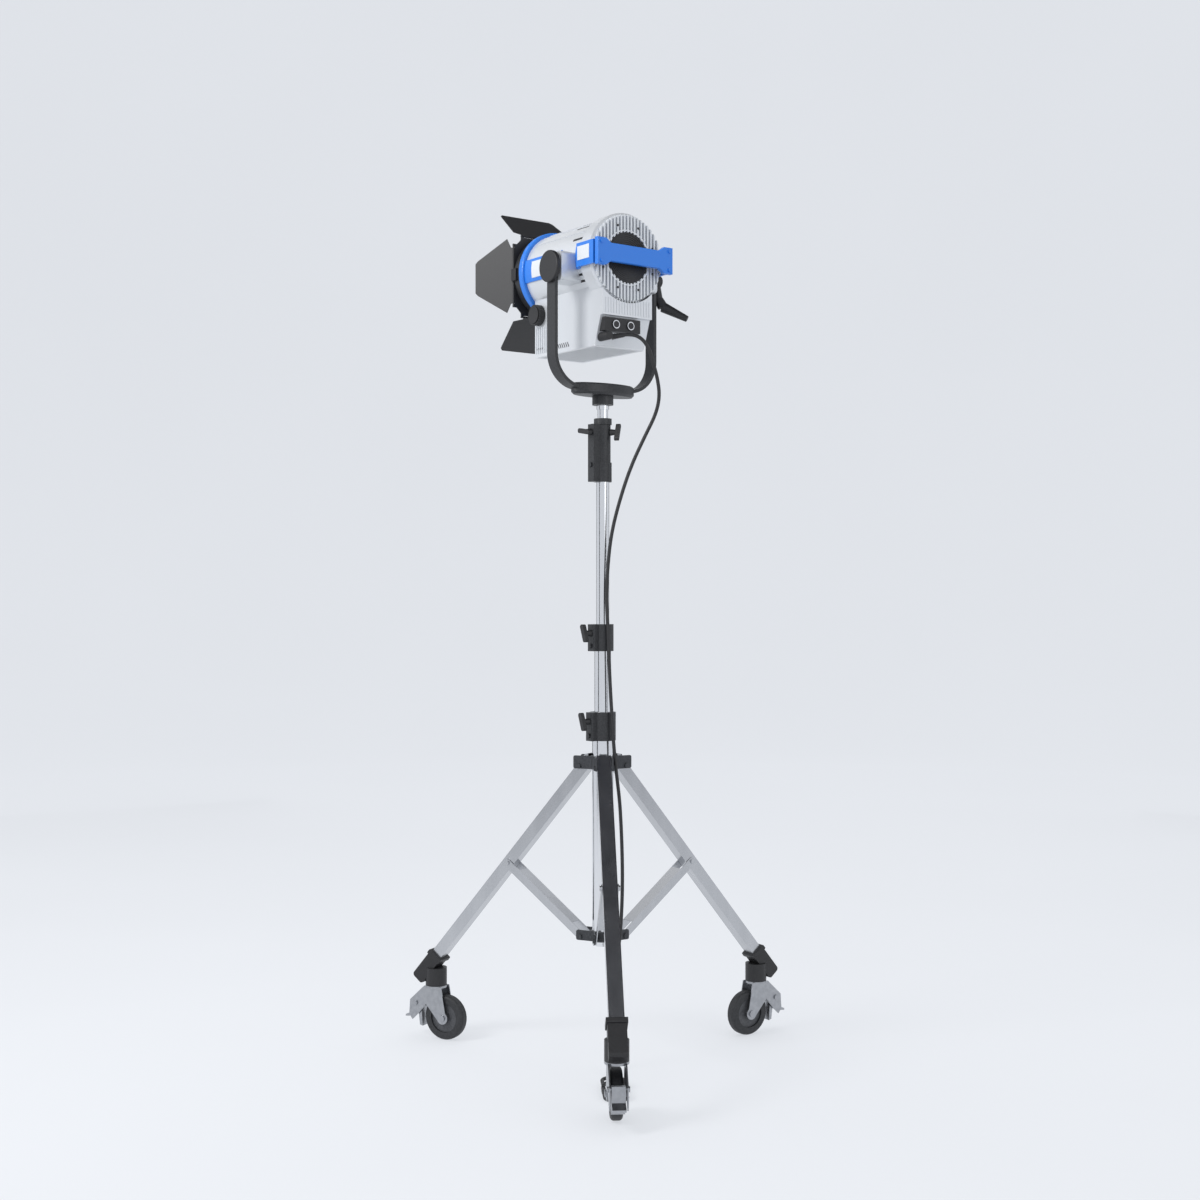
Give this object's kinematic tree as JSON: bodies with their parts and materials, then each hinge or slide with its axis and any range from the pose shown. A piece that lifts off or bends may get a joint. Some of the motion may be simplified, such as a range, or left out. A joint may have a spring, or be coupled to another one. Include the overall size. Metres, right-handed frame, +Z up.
{
  "type": "fresnel spotlight on wheeled stand",
  "caption": "LED fresnel spotlight with flared barn doors in a tilting yoke on a telescoping stand with folding legs and braked casters",
  "frame": {"origin": "on the floor, under the axis of the stand's column", "axes": "+Z up; the lamp shines along -Y; the focus knob is on the +X side; the riser clamps' handles point along +X"},
  "size_m": [0.97, 1.0871, 2.3344],
  "materials": {
    "column_tube": "polished tube",
    "riser_lower": "polished tube",
    "riser_upper": "polished tube",
    "column_clamp": "black casting",
    "riser_clamp": "black casting",
    "receiver": "black casting",
    "column_clamp_handle": "black moulded",
    "riser_clamp_handle": "black moulded",
    "receiver_knob": "black moulded",
    "spigot_lock_knob": "black moulded",
    "leg_bracket": "dark grey casting",
    "brace_collar": "dark grey casting",
    "leg_1": "zinc plated",
    "brace_1": "zinc plated",
    "leg_cap_1": "black moulded",
    "caster_fork_1": "zinc plated",
    "caster_hub_1": "black moulded",
    "caster_tyre_1": "dark grey rubber",
    "brake_pedal_1": "zinc plated",
    "leg_2": "zinc plated",
    "brace_2": "zinc plated",
    "leg_cap_2": "black moulded",
    "caster_fork_2": "zinc plated",
    "caster_hub_2": "black moulded",
    "caster_tyre_2": "dark grey rubber",
    "brake_pedal_2": "zinc plated",
    "leg_3": "zinc plated",
    "brace_3": "zinc plated",
    "leg_cap_3": "black moulded",
    "caster_fork_3": "zinc plated",
    "caster_hub_3": "black moulded",
    "caster_tyre_3": "dark grey rubber",
    "brake_pedal_3": "zinc plated",
    "yoke_frame": "black satin paint",
    "yoke_plate": "black casting",
    "spigot": "turned",
    "yoke_hub": "black moulded",
    "tilt_lever": "black moulded",
    "barrel": "silver paint",
    "side_rails": "blue satin paint",
    "lens_bezel": "black satin paint",
    "fresnel_lens": "stepped glass",
    "led_engine": "finned heat sink",
    "fan_rotor": "black moulded",
    "connector_block": "black moulded",
    "rear_cover": "silver paint",
    "electronics_box": "silver paint",
    "bottom_cover": "silver paint",
    "rear_handle": "blue satin paint",
    "power_board": "circuit board",
    "lamp_connector": "black moulded",
    "focus_knob": "black moulded",
    "mains_plug": "black moulded",
    "barn_frame": "black paint",
    "leaf_left": "black paint",
    "leaf_right": "black paint",
    "leaf_top": "black paint",
    "leaf_bottom": "black paint",
    "power_cable": "black rubber",
    "cable_hank": "black rubber"
  },
  "bodies": {
    "column": {"column_tube": "column_tube", "column_clamp": "column_clamp", "brace_collar": "brace_collar", "power_cable": "power_cable", "cable_hank": "cable_hank", "mains_plug": "mains_plug"},
    "bracket": {"leg_bracket": "leg_bracket"},
    "lower_mast": {"riser_lower": "riser_lower", "riser_clamp": "riser_clamp"},
    "upper_mast": {"riser_upper": "riser_upper", "receiver": "receiver"},
    "column_handle": {"column_clamp_handle": "column_clamp_handle"},
    "riser_handle": {"riser_clamp_handle": "riser_clamp_handle"},
    "receiver_screw": {"receiver_knob": "receiver_knob"},
    "spigot_screw": {"spigot_lock_knob": "spigot_lock_knob"},
    "yoke": {"yoke_frame": "yoke_frame", "yoke_plate": "yoke_plate", "spigot": "spigot", "yoke_hub": "yoke_hub"},
    "tilt_handle": {"tilt_lever": "tilt_lever"},
    "head": {"barrel": "barrel", "side_rails": "side_rails", "lens_bezel": "lens_bezel", "fresnel_lens": "fresnel_lens", "rear_cover": "rear_cover", "rear_handle": "rear_handle", "electronics_box": "electronics_box", "bottom_cover": "bottom_cover", "power_board": "power_board", "connector_block": "connector_block", "lamp_connector": "lamp_connector"},
    "engine": {"led_engine": "led_engine"},
    "fan": {"fan_rotor": "fan_rotor"},
    "knob": {"focus_knob": "focus_knob"},
    "door_frame": {"barn_frame": "barn_frame"},
    "door_left": {"leaf_left": "leaf_left"},
    "door_top": {"leaf_top": "leaf_top"},
    "door_right": {"leaf_right": "leaf_right"},
    "door_bottom": {"leaf_bottom": "leaf_bottom"},
    "leg_1_body": {"leg_1": "leg_1", "leg_cap_1": "leg_cap_1"},
    "brace_1_body": {"brace_1": "brace_1"},
    "fork_1": {"caster_fork_1": "caster_fork_1"},
    "wheel_1": {"caster_hub_1": "caster_hub_1", "caster_tyre_1": "caster_tyre_1"},
    "pedal_1": {"brake_pedal_1": "brake_pedal_1"},
    "leg_2_body": {"leg_2": "leg_2", "leg_cap_2": "leg_cap_2"},
    "brace_2_body": {"brace_2": "brace_2"},
    "fork_2": {"caster_fork_2": "caster_fork_2"},
    "wheel_2": {"caster_hub_2": "caster_hub_2", "caster_tyre_2": "caster_tyre_2"},
    "pedal_2": {"brake_pedal_2": "brake_pedal_2"},
    "leg_3_body": {"leg_3": "leg_3", "leg_cap_3": "leg_cap_3"},
    "brace_3_body": {"brace_3": "brace_3"},
    "fork_3": {"caster_fork_3": "caster_fork_3"},
    "wheel_3": {"caster_hub_3": "caster_hub_3", "caster_tyre_3": "caster_tyre_3"},
    "pedal_3": {"brake_pedal_3": "brake_pedal_3"}
  },
  "joints": [
    {"name": "bracket_slide", "type": "slide", "parent": "column", "child": "bracket", "axis": [0, 0, 1], "range_m": [0, 0.038], "deforming": ["power_cable"]},
    {"name": "lower_riser_slide", "type": "slide", "parent": "column", "child": "lower_mast", "axis": [0, 0, 1], "range_m": [-0.16, 0.25], "deforming": ["power_cable"]},
    {"name": "upper_riser_slide", "type": "slide", "parent": "lower_mast", "child": "upper_mast", "axis": [0, 0, 1], "range_m": [-0.35, 0.15], "deforming": ["power_cable"]},
    {"name": "column_handle_turn", "type": "hinge", "parent": "column", "child": "column_handle", "pos_m": [0.047, 0, 0.915], "axis": [1, 0, 0], "range_deg": [0, 360]},
    {"name": "riser_handle_turn", "type": "hinge", "parent": "lower_mast", "child": "riser_handle", "pos_m": [0.041, 0, 1.151], "axis": [1, 0, 0], "range_deg": [0, 360]},
    {"name": "receiver_screw_turn", "type": "hinge", "parent": "upper_mast", "child": "receiver_screw", "pos_m": [0.04, 0, 1.69], "axis": [1, 0, 0], "range_deg": [0, 360]},
    {"name": "spigot_screw_turn", "type": "hinge", "parent": "upper_mast", "child": "spigot_screw", "pos_m": [-0.01233, 0.01761, 1.69], "axis": [-0.5736, 0.8192, 0], "range_deg": [0, 360]},
    {"name": "yoke_pan", "type": "hinge", "parent": "upper_mast", "child": "yoke", "pos_m": [0, 0, 1.75], "axis": [0, 0, 1], "range_deg": [-180, 180], "deforming": ["power_cable"]},
    {"name": "head_tilt", "type": "hinge", "parent": "yoke", "child": "head", "pos_m": [0, 0, 2.117], "axis": [1, 0, 0], "range_deg": [-90, 45], "deforming": ["power_cable"]},
    {"name": "tilt_lever_turn", "type": "hinge", "parent": "yoke", "child": "tilt_handle", "pos_m": [-0.17, 0, 2.117], "axis": [1, 0, 0], "range_deg": [-60, 60]},
    {"name": "focus_slide", "type": "slide", "parent": "head", "child": "engine", "axis": [0, 1, 0], "range_m": [-0.025, 0.025]},
    {"name": "focus_knob_turn", "type": "hinge", "parent": "head", "child": "knob", "pos_m": [0.09, -0.182, 2.022], "axis": [1, 0, 0], "range_deg": [-136, 136]},
    {"name": "fan_spin", "type": "hinge", "parent": "head", "child": "fan", "pos_m": [0, 0.084, 2.142], "axis": [0, 1, 0], "continuous": true},
    {"name": "door_frame_turn", "type": "hinge", "parent": "head", "child": "door_frame", "pos_m": [0, -0.262, 2.142], "axis": [0, -1, 0], "continuous": true},
    {"name": "door_left_swing", "type": "hinge", "parent": "door_frame", "child": "door_left", "pos_m": [0.113, -0.264, 2.142], "axis": [0, 0, 1], "range_deg": [-54, 60]},
    {"name": "door_top_swing", "type": "hinge", "parent": "door_frame", "child": "door_top", "pos_m": [0, -0.264, 2.255], "axis": [-1, 0, 0], "range_deg": [-60, 53]},
    {"name": "door_right_swing", "type": "hinge", "parent": "door_frame", "child": "door_right", "pos_m": [-0.113, -0.264, 2.142], "axis": [0, 0, -1], "range_deg": [-54, 60]},
    {"name": "door_bottom_swing", "type": "hinge", "parent": "door_frame", "child": "door_bottom", "pos_m": [0, -0.264, 2.029], "axis": [1, 0, 0], "range_deg": [-60, 53]},
    {"name": "leg_1_fold", "type": "hinge", "parent": "bracket", "child": "leg_1_body", "pos_m": [0.03317, 0.05108, 0.7934], "axis": [-0.8387, 0.5446, 0], "range_deg": [0, 4.1]},
    {"name": "brace_1_fold", "type": "hinge", "parent": "column", "child": "brace_1_body", "pos_m": [0.0305, 0.04697, 0.335], "axis": [0.8387, -0.5446, 0], "range_deg": [0, 6.1]},
    {"name": "caster_1_swivel", "type": "hinge", "parent": "leg_1_body", "child": "fork_1", "pos_m": [0.28702, 0.44198, 0.15], "axis": [0, 0, 1], "continuous": true},
    {"name": "wheel_1_roll", "type": "hinge", "parent": "fork_1", "child": "wheel_1", "pos_m": [0.26905, 0.4143, 0.0625], "axis": [0.8387, -0.5446, 0], "continuous": true},
    {"name": "brake_1_press", "type": "hinge", "parent": "fork_1", "child": "pedal_1", "pos_m": [0.31698, 0.48811, 0.098], "axis": [-0.8387, 0.5446, 0], "range_deg": [0, 8]},
    {"name": "leg_2_fold", "type": "hinge", "parent": "bracket", "child": "leg_2_body", "pos_m": [-0.06082, 0.00319, 0.7934], "axis": [-0.0523, -0.9986, 0], "range_deg": [0, 4.1]},
    {"name": "brace_2_fold", "type": "hinge", "parent": "column", "child": "brace_2_body", "pos_m": [-0.05592, 0.00293, 0.335], "axis": [0.0523, 0.9986, 0], "range_deg": [0, 6.1]},
    {"name": "caster_2_swivel", "type": "hinge", "parent": "leg_2_body", "child": "fork_2", "pos_m": [-0.52628, 0.02758, 0.15], "axis": [0, 0, 1], "continuous": true},
    {"name": "wheel_2_roll", "type": "hinge", "parent": "fork_2", "child": "wheel_2", "pos_m": [-0.49332, 0.02585, 0.0625], "axis": [0.0523, 0.9986, 0], "continuous": true},
    {"name": "brake_2_press", "type": "hinge", "parent": "fork_2", "child": "pedal_2", "pos_m": [-0.5812, 0.03046, 0.098], "axis": [-0.0523, -0.9986, 0], "range_deg": [0, 8]},
    {"name": "leg_3_fold", "type": "hinge", "parent": "bracket", "child": "leg_3_body", "pos_m": [0.02765, -0.05426, 0.7934], "axis": [0.891, 0.454, 0], "range_deg": [0, 4.1]},
    {"name": "brace_3_fold", "type": "hinge", "parent": "column", "child": "brace_3_body", "pos_m": [0.02542, -0.0499, 0.335], "axis": [-0.891, -0.454, 0], "range_deg": [0, 6.1]},
    {"name": "caster_3_swivel", "type": "hinge", "parent": "leg_3_body", "child": "fork_3", "pos_m": [0.23925, -0.46956, 0.15], "axis": [0, 0, 1], "continuous": true},
    {"name": "wheel_3_roll", "type": "hinge", "parent": "fork_3", "child": "wheel_3", "pos_m": [0.22427, -0.44016, 0.0625], "axis": [-0.891, -0.454, 0], "continuous": true},
    {"name": "brake_3_press", "type": "hinge", "parent": "fork_3", "child": "pedal_3", "pos_m": [0.26422, -0.51857, 0.098], "axis": [0.891, 0.454, 0], "range_deg": [0, 8]}
  ],
  "couplings": [
    {"joint": "focus_knob_turn", "follows": "focus_slide", "rad_per_m": 94.2},
    {"joint": "leg_1_fold", "follows": "bracket_slide", "rad_per_m": 1.8561},
    {"joint": "brace_1_fold", "follows": "bracket_slide", "rad_per_m": 2.77},
    {"joint": "leg_2_fold", "follows": "bracket_slide", "rad_per_m": 1.8561},
    {"joint": "brace_2_fold", "follows": "bracket_slide", "rad_per_m": 2.77},
    {"joint": "leg_3_fold", "follows": "bracket_slide", "rad_per_m": 1.8561},
    {"joint": "brace_3_fold", "follows": "bracket_slide", "rad_per_m": 2.77}
  ]
}
